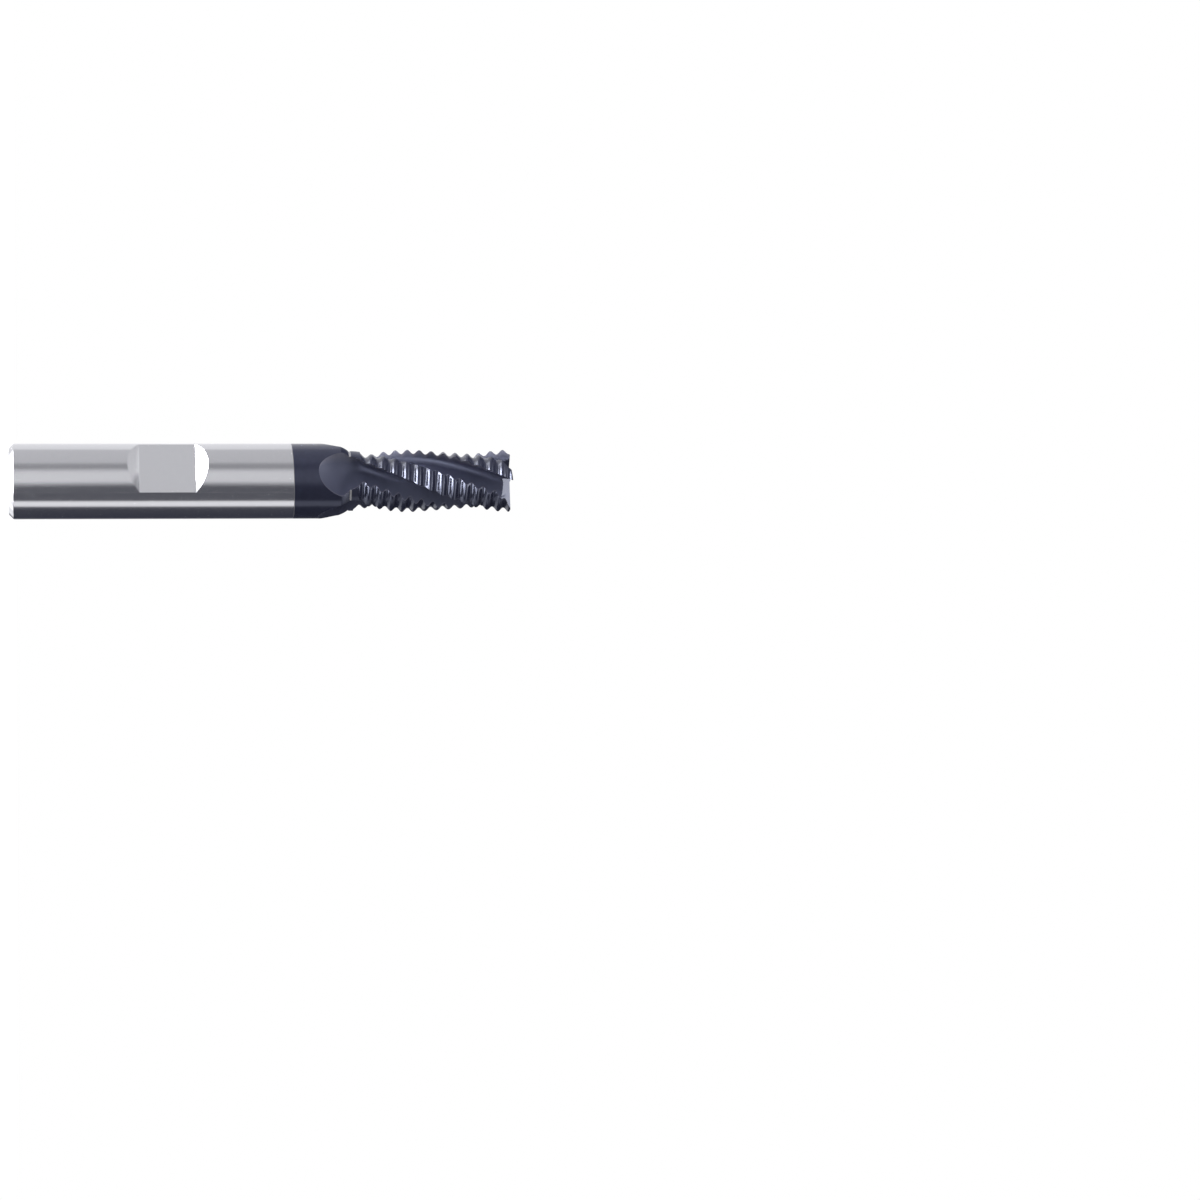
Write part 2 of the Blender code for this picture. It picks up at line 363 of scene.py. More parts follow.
def outside_radius(z, tooth, ahead):
    """Radius of the uncut tool; ahead is the angle in front of a tooth's cutting edge."""
    behind = np.maximum(0.0, -ahead)
    lip = FOOT_R + LAND_LIP * np.clip((z - FOOT_Z) / LAND_LIP, 0, 1)
    plain = CUT_R - LAND_TAPER * (z - LAND_Z) / (TEETH_Z - LAND_Z)
    relieved = CUT_R - RELIEF_DROP * behind / LAND_ANGLE
    toothed = relieved - knuckle(z, edge_angle(z) + tooth * SECTOR + ahead)
    quarters = (tooth + 1) % FLUTES - 1
    start = TEETH_Z - KNUCKLE_PITCH * quarters / FLUTES
    radius = np.where(z < start, plain, toothed)
    into_corner = np.clip((z - TOTAL_LENGTH) / CORNER_ROUND + 1, 0, 1)
    radius = radius - CORNER_ROUND * (1 - np.sqrt(1 - into_corner ** 2))
    radius = np.where(z < LAND_Z, lip, radius)
    return np.where(z < FOOT_Z, shoulder_radius(z), radius)


# %% [markdown]
# ## The flute
#
# Cut across the tool, a flute is a straight cutting face that leans back under its edge, a
# round root, and a slightly hollow floor that ends at the heel of the next land. Where the
# grinding wheel leaves the metal, this outline turns into a plain hollow scoop and rises to
# the surface. Each point of the outline has a number from 0 to 1 along it. The two outlines
# are mixed point by point, more scoop and less flute further down.

# %% Flute outline
OUTLINE_PARTS = 15
WALL_PARTS = 4
ROOT_PARTS = 4
WALL_SHARE = WALL_PARTS / OUTLINE_PARTS
ROOT_SHARE = (WALL_PARTS + ROOT_PARTS) / OUTLINE_PARTS
FAR_SIDE = OUTSIDE * 0.95


def flute_outline(share):
    """Flute across the tool, x out through the cutting edge; share runs 0 to 1."""
    lean = math.radians(RAKE_ANGLE)
    corner = math.radians(90.0 - RAKE_ANGLE)
    reach = (CUT_R - FLOOR_HEIGHT) / math.cos(lean)
    foot = reach - ROOT_RADIUS / math.tan(corner / 2)
    top = OUTSIDE - CUT_R
    knots = np.arange(WALL_PARTS + 1) / OUTLINE_PARTS
    along = np.interp(share, knots, (top, 0.35 * top, 0.0, -foot / 2, -foot))
    wall_x = CUT_R + along * math.cos(lean)
    wall_y = along * math.sin(lean)
    centre_x = FLOOR_HEIGHT + ROOT_RADIUS
    centre_y = -reach * math.sin(lean) + ROOT_RADIUS / math.tan(corner / 2)
    swing = (math.pi - corner) * (share - WALL_SHARE) / (ROOT_SHARE - WALL_SHARE)
    turn = math.radians(RAKE_ANGLE - 90) - swing
    root_x = centre_x + ROOT_RADIUS * np.cos(turn)
    root_y = centre_y + ROOT_RADIUS * np.sin(turn)
    floor_y = centre_y + (FAR_SIDE - centre_y) * (share - ROOT_SHARE) / (1 - ROOT_SHARE)
    floor_x = FLOOR_HEIGHT + (floor_y - centre_y) ** 2 / (2 * FLOOR_HOLLOW)
    x = np.where(share < WALL_SHARE, wall_x, np.where(share < ROOT_SHARE, root_x, floor_x))
    y = np.where(share < WALL_SHARE, wall_y, np.where(share < ROOT_SHARE, root_y, floor_y))
    return x, y


def scoop_outline(share, lift):
    """Run-out across the tool, a hollow whose floor is lifted as the wheel leaves."""
    places = (-SCOOP_NEAR, -SCOOP_NEAR * SCOOP_BEND, SCOOP_FAR)
    y = np.interp(share, (0.0, WALL_SHARE, 1.0), places)
    hollow = np.where(y < 0, SCOOP_NEAR_HOLLOW, SCOOP_HOLLOW)
    return FLOOR_HEIGHT + lift + y * y / (2 * hollow), y


def turned(x, y, angle):
    """Points of an outline turned about the tool's axis."""
    return x * np.cos(angle) - y * np.sin(angle), x * np.sin(angle) + y * np.cos(angle)


def flute_point(z, share):
    """Radius and angle ahead of the cutting edge of a point of the flute."""
    length = FULL_Z - RUNOUT_Z
    depth = SHANK_R - FLOOR_HEIGHT
    wheel = (length ** 2 + depth ** 2) / (2 * depth)
    back = np.clip(FULL_Z - z, 0, length)
    lift = wheel - np.sqrt(wheel ** 2 - back ** 2)
    part = np.clip(back / (length * RUNOUT_MIX), 0, 1)
    mix = part * part * (3 - 2 * part)
    over = np.clip((z - HOLD_Z) / HOLD_BLEND, -1, 1)
    held = np.maximum(z, HOLD_Z) + HOLD_BLEND * (1 - np.abs(over)) ** 2 / 4
    flute_turn = np.radians(edge_angle(held) - edge_angle(z))
    scoop_turn = np.radians(RUNOUT_ANGLE - edge_angle(z))
    flute_x, flute_y = turned(*flute_outline(share), flute_turn)
    scoop_x, scoop_y = turned(*scoop_outline(share, lift), scoop_turn)
    x = flute_x + (scoop_x - flute_x) * mix
    y = flute_y + (scoop_y - flute_y) * mix
    return np.hypot(x, y), np.degrees(np.arctan2(y, x))


# %% [markdown]
# ## Where flute and outside meet
#
# The cutting edge is where the flute's face comes out through the outside, and the heel is
# where its floor does. For a fine ladder of heights the outline is sampled closely, and the
# first and last places where it lies inside the metal are noted. Everything after this is
# interpolation in these two short tables.

# %% Cutting edge and heel
RUNOUT_SAMPLES = 160
FLUTE_SAMPLES = 900
SHARE_SAMPLES = 601
LADDER = np.concatenate([
    RUNOUT_Z + (FULL_Z - RUNOUT_Z) * np.linspace(0.0, 1.0, RUNOUT_SAMPLES)[1:] ** 2,
    np.linspace(FULL_Z, TOTAL_LENGTH + 2 * OVERRUN, FLUTE_SAMPLES)[1:],
])
SHARES = np.linspace(0.0, 1.0, SHARE_SAMPLES)


def meeting(tooth):
    """Shares of the outline at the cutting edge and at the heel, up the ladder."""
    z = LADDER[:, None]
    radius, ahead = flute_point(z, SHARES[None, :])
    front = outside_radius(z, tooth, ahead)
    next_tooth = (tooth + 1) % FLUTES
    rear = outside_radius(z, next_tooth, ahead - SECTOR)
    over = radius - np.where(ahead < SECTOR / 4, front, rear)
    inside = over < 0
    first = inside.argmax(axis=1)
    last = inside.shape[1] - 1 - inside[:, ::-1].argmax(axis=1)
    rows = np.arange(len(LADDER))

    def crossing(out, back):
        high = over[rows, out]
        low = over[rows, back]
        return SHARES[out] + (SHARES[back] - SHARES[out]) * high / (high - low)

    return crossing(first - 1, first), crossing(last + 1, last)


MEETINGS = [meeting(tooth) for tooth in range(FLUTES)]
print("heel", [round(float(heel[-1]), 3) for edge, heel in MEETINGS])

# %% [markdown]
# ## The skin of the cutting end
#
# Now the skin is laid row by row, like rings round the tool. Each quarter of a ring runs
# over one land from heel to edge and then down and up through the flute in front of it. A
# ring is only points, and a face joins each four of them. Below the run-out the flute has
# no width, and its points fall together. They are merged afterwards. Two attributes go
# along for the steel: which faces lie in a flute, and how far down the cutting face a point
# is.

# %% Rows and rings
RUNOUT_ROWS = 46
ROWS_DRAWN_DOWN = 1.7
ROW_GAP = 0.02 * MM
COLUMNS_DRAWN_OUT = 0.05
TINY = 1e-9
SKIN_MERGE = 1e-7


def row_heights():
    spread = np.linspace(0.0, 1.0, RUNOUT_ROWS) ** ROWS_DRAWN_DOWN
    near = RUNOUT_Z + (LAND_Z - RUNOUT_Z) * spread
    lips = np.array((SHOULDER_Z, FOOT_Z))
    near = near[np.abs(near[:, None] - lips[None, :]).min(axis=1) > ROW_GAP]
    count = int(round((TOTAL_LENGTH - LAND_Z) / KNUCKLE_PITCH * ROWS_PER_PITCH))
    far = np.linspace(LAND_Z, TOTAL_LENGTH, count)[1:]
    step = far[1] - far[0]
    beyond = np.arange(TOTAL_LENGTH + step, TOTAL_LENGTH + OVERRUN, step)
    return np.sort(np.concatenate([[JOINT_Z], near, lips, far, beyond]))


ROWS = row_heights()


def ease(count):
    """Even steps from 0 to 1, drawn a little together at both ends."""
    even = np.linspace(0.0, 1.0, count + 1)
    return even - np.sin(2 * np.pi * even) * COLUMNS_DRAWN_OUT


def quarter(tooth):
    """Grid of points over one land and the flute in front of it."""
    z = ROWS[:, None]
    edge_share, heel_share = MEETINGS[tooth]
    edge = np.interp(ROWS, LADDER, edge_share)
    heel = np.interp(ROWS, LADDER, heel_share)
    behind_share = MEETINGS[(tooth - 1) % FLUTES][1]
    rear = np.interp(ROWS, LADDER, behind_share)
    shut = RUNOUT_ANGLE - edge_angle(ROWS)
    is_shut = ROWS <= RUNOUT_Z + TINY
    edge_ahead = np.where(is_shut, shut, flute_point(ROWS, edge)[1])
    rear_ahead = np.where(is_shut, shut, flute_point(ROWS, rear)[1]) - SECTOR
    land = rear_ahead[:, None] + (edge_ahead - rear_ahead)[:, None] * ease(LAND_STEPS)
    land_radius = outside_radius(z, tooth, land)
    steps = ease(FLUTE_STEPS)[1:-1]
    share = edge[:, None] + (heel - edge)[:, None] * steps
    flute_radius, flute = flute_point(z, share)
    flute = np.where(is_shut[:, None], shut[:, None], flute)
    flute_radius = np.where(is_shut[:, None], SHANK_R, flute_radius)
    ahead = np.concatenate([land, flute], axis=1)
    radius = np.concatenate([land_radius, flute_radius], axis=1)
    turn = np.radians(edge_angle(z) + tooth * SECTOR + ahead)
    height = np.broadcast_to(z, turn.shape)
    return np.stack([radius * np.cos(turn), radius * np.sin(turn), height], axis=2)


def mark_flutes(mesh, rows, columns):
    """Attributes for the steel: faces in a flute, and depth down the cutting face."""
    step = np.arange(columns) % (LAND_STEPS + FLUTE_STEPS)
    in_flute = np.tile(step >= LAND_STEPS, rows - 1).astype(float)
    into_face = np.tile(np.clip((step - LAND_STEPS) / FACE_STEPS, 0, 1), rows)
    zone = mesh.attributes.new("in_flute", 'FLOAT', 'FACE')
    zone.data.foreach_set("value", np.append(in_flute, (0.0, 0.0)))
    depth = mesh.attributes.new("into_face", 'FLOAT', 'POINT')
    depth.data.foreach_set("value", into_face)


def make_cutting_end():
    rings = np.concatenate([quarter(tooth) for tooth in range(FLUTES)], axis=1)
    rows, columns = rings.shape[:2]
    low = np.arange(rows - 1)[:, None] * columns + np.arange(columns)[None, :]
    side = np.roll(low, -1, axis=1)
    quads = np.stack([low, side, side + columns, low + columns], axis=2).reshape(-1, 4)
    caps = [list(range(columns))[::-1], list(range((rows - 1) * columns, rows * columns))]
    thing = new_object("cutting_end", rings.reshape(-1, 3).tolist(), quads.tolist() + caps)
    mark_flutes(thing.data, rows, columns)
    neaten(thing, merge=SKIN_MERGE)
    return thing


cutting_end = make_cutting_end()
print("cutting end", faces_of(cutting_end), "faces in", len(ROWS), "rows")

# %% [markdown]
# ## The end teeth
#
# The end of the tool also cuts. Each end tooth has its edge in line with the side's cutting
# edge and falls away behind it. Inside their rounded corners the four end teeth dip a
# little towards the middle, so that only their outer parts touch. This end form is a slab
# with a shaped underside, made as a fan of points, and it is taken off the overlong cutting
# end.

# %% End form
FORM_RINGS = 10
FORM_STEPS = 24
FORM_RETURN = 0.08
FORM_R = CUT_R * 1.2
FORM_THICKNESS = 4 * MM


def end_height(radius, ahead):
    """Height of the end of the tool at a radius and an angle ahead of an edge."""
    share = (-ahead / SECTOR) % 1.0
    back_up = np.clip((1 - share) / FORM_RETURN, 0, 1)
    fall = radius * np.sin(np.radians(share * SECTOR)) * math.tan(math.radians(END_RELIEF))
    dish = max(0.0, CUT_R - CORNER_ROUND - radius) * math.tan(math.radians(END_DISH))
    return TOTAL_LENGTH - dish - fall * back_up


def make_end_form():
    radii = np.linspace(0.0, FORM_R, FORM_RINGS + 1)[1:]
    steps = np.linspace(0.0, 1.0, FORM_STEPS + 1)[:-1]
    steps = np.concatenate([steps, [1 - FORM_RETURN, 1 - FORM_RETURN / 2]])
    angles = np.sort(np.concatenate([(-steps - k) * SECTOR for k in range(FLUTES)]))
    points = [(0.0, 0.0, float(end_height(0.0, 0.0)))]
    for radius in radii:
        for ahead in angles:
            turn = math.radians(END_EDGE_ANGLE + ahead)
            z = float(end_height(radius, ahead))
            points.append((radius * math.cos(turn), radius * math.sin(turn), z))
    count = len(angles)
    faces = []
    for i in range(count):
        k = (i + 1) % count
        faces.append((0, 1 + k, 1 + i))
        for ring in range(FORM_RINGS - 1):
            low = 1 + ring * count
            faces.append((low + i, low + k, low + count + k, low + count + i))
    form = new_object("end_form", points, faces)
    only(form)
    bpy.ops.object.mode_set(mode='EDIT')
    bpy.ops.mesh.select_all(action='SELECT')
    bpy.ops.mesh.extrude_region_move(TRANSFORM_OT_translate={"value": (0, 0, FORM_THICKNESS)})
    bpy.ops.object.mode_set(mode='OBJECT')
    neaten(form, split=True)
    return form


cut(cutting_end, make_end_form())
print("end formed", faces_of(cutting_end), "faces")

# %% [markdown]
# ## The gashes
#
# In front of each end tooth the grinder cuts a gash, so that chips have room at the end
# too. It has an upright wall under the end cutting edge and a floor that rises towards the
# middle. One block is shaped for it and turned to each of the four places.

# %% Gashes
GASH_INNER = CUT_R * -0.2
GASH_OUTER = CUT_R * 1.3
GASH_WIDTH = CUT_R * 1.2
GASH_TOP = TOTAL_LENGTH + 2 * MM


def make_gash(tooth):
    lean = math.tan(math.radians(RAKE_ANGLE))
    bpy.ops.mesh.primitive_cube_add(size=1.0, location=(0, 0, 0))
    block = bpy.context.object
    for vertex in block.data.vertices:
        x = GASH_INNER if vertex.co.x < 0 else GASH_OUTER
        y = (x - CUT_R) * lean if vertex.co.y < 0 else GASH_WIDTH
        rise = (CUT_R - GASH_ROOT - x) * math.tan(math.radians(GASH_SLOPE))
        rise += y * math.tan(math.radians(GASH_SIDE_SLOPE))
        floor_z = TOTAL_LENGTH - GASH_DEPTH + rise
        vertex.co = (x, y, floor_z if vertex.co.z < 0 else max(GASH_TOP, floor_z + MM))
    neaten(block, split=True)
    block.rotation_euler = (0, 0, math.radians(END_EDGE_ANGLE + tooth * SECTOR))
    bpy.ops.object.transform_apply(location=True, rotation=True, scale=True)
    return block


for tooth in range(FLUTES):
    cut(cutting_end, make_gash(tooth))
print("gashed", faces_of(cutting_end), "faces")

# %% [markdown]
# ## One piece
#
# The real tool is one bar, so the two halves become one mesh. The caps between them are
# deleted, the halves are joined, and the points of the two rims, which lie in the same
# places, are merged. Edges sharper than about 32 degrees stay sharp in the shading.

# %% Join
RIM_MERGE = 2e-6
SHARP_ANGLE = 32.0


def open_at_joint(thing):
    """Delete the flat cap that lies at the joint between the halves."""
    only(thing)
    bpy.ops.object.mode_set(mode='EDIT')
    pick(thing, "faces", lambda middle, face: abs(middle.z - JOINT_Z) < MM / 1000
         and abs(face.normal.z) > 0.99)
    bpy.ops.mesh.delete(type='ONLY_FACE')
    bpy.ops.object.mode_set(mode='OBJECT')


open_at_joint(shank)
open_at_joint(cutting_end)
only(shank)
cutting_end.select_set(True)
bpy.ops.object.join()
mill = bpy.context.object
mill.name = "end_mill_ground"
mill.data.name = "end_mill_ground"
neaten(mill, merge=RIM_MERGE)
bpy.ops.object.shade_smooth_by_angle(angle=math.radians(SHARP_ANGLE))
triangles = sum(len(face.vertices) - 2 for face in mill.data.polygons)
print("whole tool", triangles, "triangles")

# %% [markdown]
# ## Shader helpers
#
# Materials and light are built from small nodes. Each helper adds one node or a few, and
# takes numbers or the outputs of other nodes alike.

# %% Nodes
WHITE = (1.0, 1.0, 1.0, 1.0)


def node(tree, kind, **settings):
    made = tree.nodes.new(kind)
    for name, value in settings.items():
        setattr(made, name, value)
    return made


def feed(tree, socket, value):
    """Give a socket a number or colour, or link another node's output to it."""
    if isinstance(value, (int, float, tuple)):
        socket.default_value = value
    else:
        tree.links.new(value, socket)


def math_node(tree, operation, *values, clamp=False):
    made = node(tree, "ShaderNodeMath", operation=operation, use_clamp=clamp)
    for socket, value in zip(made.inputs, values):
        feed(tree, socket, value)
    return made.outputs[0]


def mix_node(tree, factor, first, second, kind='RGBA'):
    """Mix of two colours or two numbers, the first at 0 and the second at 1."""
    made = node(tree, "ShaderNodeMix", data_type=kind)
    sockets = [socket for socket in made.inputs if socket.enabled]
    for socket, value in zip(sockets, (factor, first, second)):
        feed(tree, socket, value)
    return [socket for socket in made.outputs if socket.enabled][0]


def mix_shaders(tree, share, first, second):
    """Mix of two shaders, the first at 0 and the second at 1."""
    made = node(tree, "ShaderNodeMixShader")
    for socket, value in zip(made.inputs, (share, first, second)):
        feed(tree, socket, value)
    return made.outputs[0]


def add_shaders(tree, first, second):
    made = node(tree, "ShaderNodeAddShader")
    for socket, value in zip(made.inputs, (first, second)):
        feed(tree, socket, value)
    return made.outputs[0]


def map_range(tree, value, span, levels, kind='LINEAR'):
    """Numbers that go between two levels while a value goes over its span."""
    made = node(tree, "ShaderNodeMapRange", interpolation_type=kind)
    names = ("Value", "From Min", "From Max", "To Min", "To Max")
    for name, given in zip(names, (value, *span, *levels)):
        feed(tree, made.inputs[name], given)
    return made.outputs["Result"]


def band(tree, value, middle, half):
    """One at the middle of a narrow band of values, fading to nought at its sides."""
    off = math_node(tree, 'ABSOLUTE', math_node(tree, 'SUBTRACT', value, middle))
    return math_node(tree, 'SUBTRACT', 1.0, math_node(tree, 'DIVIDE', off, half), clamp=True)


def noise(tree, vector, scale=1.0, detail=3.0):
    made = node(tree, "ShaderNodeTexNoise")
    feed(tree, made.inputs["Vector"], vector)
    feed(tree, made.inputs["Scale"], scale)
    feed(tree, made.inputs["Detail"], detail)
    return made.outputs["Fac"]


# %% [markdown]
# ## Steel
#
# The shank is bright ground steel, and the level face of its flat is painted a lighter colour,
# a painted highlight. The neck and the cutting end carry a thin, hard, dark coating with a
# violet cast. Its edge is a soft and slightly slanting line round the shank. Both finishes
# sit in one material, mixed by the height above the shank end, which Object coordinates give.
# Grinding leaves its lines too: round the shank and the teeth, and along the helix in the
# flutes, where the surface is also duller. The cutting faces are lighter near their edges,
# partly a thinner coating and partly a painted highlight, and the small lip below the smooth
# lands has a light line painted on it, a painted highlight.

# %% Steel material
COAT_EDGE = 35.6 * MM
COAT_SLANT = 0.13 * MM
COAT_BLUR = 0.10 * MM
BRIGHT_STEEL = (0.66, 0.66, 0.675, 1.0)
# Painted highlight: a lighter colour on the flat's level face, so that its reflection shows
# brighter.
FLAT_PAINTED_HIGHLIGHT = (0.82, 0.82, 0.835, 1.0)
FLAT_HIGHLIGHT_BAND = 0.05 * MM
COATING = (0.022, 0.024, 0.044, 1.0)
COATING_TINT = (0.72, 0.77, 1.0, 1.0)
COATING_SHINE = 0.68
# Lighter colour on the cutting faces near their edges: partly a thinner coating, partly a
# painted highlight.
FACE_WEAR_AND_HIGHLIGHT = (0.30, 0.29, 0.33, 1.0)
FACE_WEAR_AND_HIGHLIGHT_SHARE = 0.25
# Painted highlight: a light line in the colour of bare steel on the small lip below the smooth
# lands.
LIP_HIGHLIGHT = (0.75, 0.74, 0.75, 1.0)
LIP_HIGHLIGHT_SHARE = 0.8
LIP_HIGHLIGHT_BAND = 0.16 * MM

STEEL_ROUGH = 0.15
LAND_ROUGH = 0.17
FLUTE_ROUGH = 0.46
LINE_PITCH = 0.11 * MM
LINE_STRETCH = 60.0
LINE_TONE = 0.05
LINE_ROUGH = 0.06
CLOUD_SCALE = 900.0
CLOUD_DETAIL = 4.0
CLOUD_TONE = 0.5
CLOUD_ROUGH = 0.05
BUMP_STRENGTH = 0.10
BUMP_DEPTH = 0.02 * MM


def grinding_lines(tree, place, x, y, z, in_flute):
    """Uneven lines: rings by height, and threads along the helix in the flutes."""
    ring_place = node(tree, "ShaderNodeCombineXYZ")
    feed(tree, ring_place.inputs[0], math_node(tree, 'MULTIPLY', x, LINE_STRETCH))
    feed(tree, ring_place.inputs[1], math_node(tree, 'MULTIPLY', y, LINE_STRETCH))
    feed(tree, ring_place.inputs[2], math_node(tree, 'DIVIDE', z, LINE_PITCH))
    rings = noise(tree, ring_place.outputs[0])
    turn = math_node(tree, 'MULTIPLY', z, 2 * math.pi / FLUTE_LEAD)
    untwist = node(tree, "ShaderNodeVectorRotate", rotation_type='Z_AXIS')
    feed(tree, untwist.inputs["Vector"], place)
    feed(tree, untwist.inputs["Angle"], math_node(tree, 'MULTIPLY', turn, -1.0))
    stretch = node(tree, "ShaderNodeVectorMath", operation='MULTIPLY')
    feed(tree, stretch.inputs[0], untwist.outputs[0])
    feed(tree, stretch.inputs[1], (1 / LINE_PITCH, 1 / LINE_PITCH, LINE_STRETCH))
    threads = noise(tree, stretch.outputs[0])
    return mix_node(tree, in_flute, rings, threads, 'FLOAT')


def coated_share(tree, x, z, cloud):
    """One above the coating's soft and slanting edge, nought below it."""
    slant = math_node(tree, 'MULTIPLY', x, COAT_SLANT / SHANK_R)
    height = math_node(tree, 'SUBTRACT', z, slant)
    height = math_node(tree, 'MULTIPLY_ADD', cloud, COAT_BLUR, height)
    above = math_node(tree, 'SUBTRACT', height, COAT_EDGE - COAT_BLUR / 2)
    return math_node(tree, 'DIVIDE', above, COAT_BLUR, clamp=True)


def lip_highlight_share(tree, x, y, z, in_flute):
    """Mask of a painted highlight: one on the small lip where the smooth lands begin, but not
    in the flutes.
    """
    x_squared = math_node(tree, 'MULTIPLY', x, x)
    y_squared = math_node(tree, 'MULTIPLY', y, y)
    radius = math_node(tree, 'SQRT', math_node(tree, 'ADD', x_squared, y_squared))
    outside = math_node(tree, 'GREATER_THAN', radius, FOOT_R - LAND_LIP / 2)
    lip = math_node(tree, 'MULTIPLY', band(tree, z, LAND_Z - LAND_LIP / 2, LIP_HIGHLIGHT_BAND), outside)
    return math_node(tree, 'MULTIPLY', lip, math_node(tree, 'SUBTRACT', 1.0, in_flute))


def steel_colour(tree, y, coated, face, lip):
    """Bright steel with a painted highlight on its flat; coating, thinner at the cutting
    edges, with painted highlights.
    """
    # Cutting faces near their edges: a thinner coating and a painted highlight.
    dark = mix_node(tree, math_node(tree, 'MULTIPLY', face, FACE_WEAR_AND_HIGHLIGHT_SHARE), COATING, FACE_WEAR_AND_HIGHLIGHT)
    # The lip gets its light line, a painted highlight.
    dark = mix_node(tree, math_node(tree, 'MULTIPLY', lip, LIP_HIGHLIGHT_SHARE), dark, LIP_HIGHLIGHT)
    # The flat's level face gets the lighter colour, a painted highlight.
    level = band(tree, y, FLAT_DEPTH - SHANK_R, FLAT_HIGHLIGHT_BAND)
    bright = mix_node(tree, level, BRIGHT_STEEL, FLAT_PAINTED_HIGHLIGHT)
    return mix_node(tree, coated, bright, dark)


def make_steel():
    material = bpy.data.materials.new("ground_and_coated_steel")
    material.use_nodes = True
    tree = material.node_tree
    shader = tree.nodes["Principled BSDF"]
    place = node(tree, "ShaderNodeTexCoord").outputs["Object"]
    split = node(tree, "ShaderNodeSeparateXYZ")
    feed(tree, split.inputs[0], place)
    x, y, z = split.outputs
    in_flute = node(tree, "ShaderNodeAttribute", attribute_name="in_flute").outputs["Fac"]
    into_face = node(tree, "ShaderNodeAttribute", attribute_name="into_face").outputs["Fac"]

    lines = grinding_lines(tree, place, x, y, z, in_flute)
    uneven = math_node(tree, 'SUBTRACT', lines, 0.5)
    cloud = math_node(tree, 'SUBTRACT', noise(tree, place, CLOUD_SCALE, CLOUD_DETAIL), 0.5)
    coated = coated_share(tree, x, z, cloud)
    # Mask of the painted highlight on the lip.
    lip = lip_highlight_share(tree, x, y, z, in_flute)
    # Mask of the cutting faces near their edges, for the thinner coating and its painted
    # highlight.
    face = math_node(tree, 'MULTIPLY', in_flute, math_node(tree, 'SUBTRACT', 1.0, into_face))

    mottling = math_node(tree, 'MULTIPLY', cloud, coated)
    shade = math_node(tree, 'MULTIPLY_ADD', uneven, LINE_TONE, 1.0)
    shade = math_node(tree, 'MULTIPLY_ADD', mottling, CLOUD_TONE, shade)
    tone = node(tree, "ShaderNodeVectorMath", operation='SCALE')
    feed(tree, tone.inputs[0], steel_colour(tree, y, coated, face, lip))
    feed(tree, tone.inputs["Scale"], shade)
    feed(tree, shader.inputs["Base Color"], tone.outputs[0])
    feed(tree, shader.inputs["Metallic"], math_node(tree, 'SUBTRACT', 1.0, coated))

    coat_rough = mix_node(tree, in_flute, LAND_ROUGH, FLUTE_ROUGH, 'FLOAT')
    rough = mix_node(tree, coated, STEEL_ROUGH, coat_rough, 'FLOAT')
    rough = math_node(tree, 'MULTIPLY_ADD', uneven, LINE_ROUGH, rough)
    rough = math_node(tree, 'MULTIPLY_ADD', cloud, CLOUD_ROUGH, rough)
    feed(tree, shader.inputs["Roughness"], rough)
    feed(tree, shader.inputs["Specular Tint"], mix_node(tree, coated, WHITE, COATING_TINT))
    feed(tree, shader.inputs["Specular IOR Level"], COATING_SHINE)
    bump = node(tree, "ShaderNodeBump")
    feed(tree, bump.inputs["Strength"], BUMP_STRENGTH)
    feed(tree, bump.inputs["Distance"], BUMP_DEPTH)
    feed(tree, bump.inputs["Height"], lines)
    feed(tree, shader.inputs["Normal"], bump.outputs[0])
    return material


steel = make_steel()
mill.data.materials.clear()
mill.data.materials.append(steel)
print("material", steel.name)

# %% [markdown]
# ## The room
#
# Bright metal shows little of its own. What one sees on it is the room, so the room has to
# be right. Only mirror rays meet it here. They see pale and dark walls by the compass
# direction of the ray, a soft glow over the cutting end, and round panels, most of them
# low. A little blue is added for the darkest parts. Rays that spread from dull surfaces
# meet a plain even light, and straight camera rays see white. All angles are in degrees: a
# compass angle turns about the tool's axis, and a climb is the height above the level.

# %% World
# Compass angle and level
WALLS = [
    (-180, 1.00), (-172, 0.70), (-122, 0.66), (-112, 0.40), (-102, 0.38), (-92, 0.72),
    (-84, 0.84), (-60, 0.82), (-52, 0.45), (-44, 0.155), (-36, 0.13), (1, 0.13), (5, 1.07),
    (20, 1.07), (26, 0.12), (36, 0.070), (92, 0.045), (112, 0.5), (120, 1.0), (180, 1.00),
]
WALL_TOP = 0.50

# Angle from the middle of the glow and share of its level
GLOW = [(72, 0.0), (65, 0.05), (55, 0.17), (45, 0.33), (32, 0.60), (22, 0.85), (12, 1.0)]
GLOW_PLACE = (78, -72)
GLOW_LEVEL = 2.3
GLOW_BEHIND = 0.5
FRONT = (0, -62)
FRONT_FADE = (-0.30, -0.05)

# Climb, compass angle, angle of the full part, angle of the fade, and level
PANELS = [
    (-68, -132, 12, 19, 26.0),
    (-45, -52, 12, 18, 7.0),
    (-48, -177, 10, 14, 3.5),
    (-90, 0, 25, 12, 0.9),
    (84, 143, 9, 9, 3.6),
    (-60, 58, 14, 12, 1.2),
    (-36, 88, 12, 12, 1.15),
]
ROOM_COLOUR = (0.985, 0.985, 1.0, 1.0)
AIR_COLOUR = (0.0, 0.1, 1.0, 1.0)
AIR_LEVEL = 0.022
EVEN_LIGHT = 0.45


def aim(climb, compass):
    """Direction with a climb and a compass angle."""
    flat = math.cos(math.radians(climb))
    turn = math.radians(compass)
    return flat * math.cos(turn), flat * math.sin(turn), math.sin(math.radians(climb))


def nearness(tree, direction, climb, compass):
    """Cosine of the angle between each ray and one direction."""
    dot = node(tree, "ShaderNodeVectorMath", operation='DOT_PRODUCT')
    feed(tree, dot.inputs[0], direction)
    feed(tree, dot.inputs[1], aim(climb, compass))
    return dot.outputs["Value"]


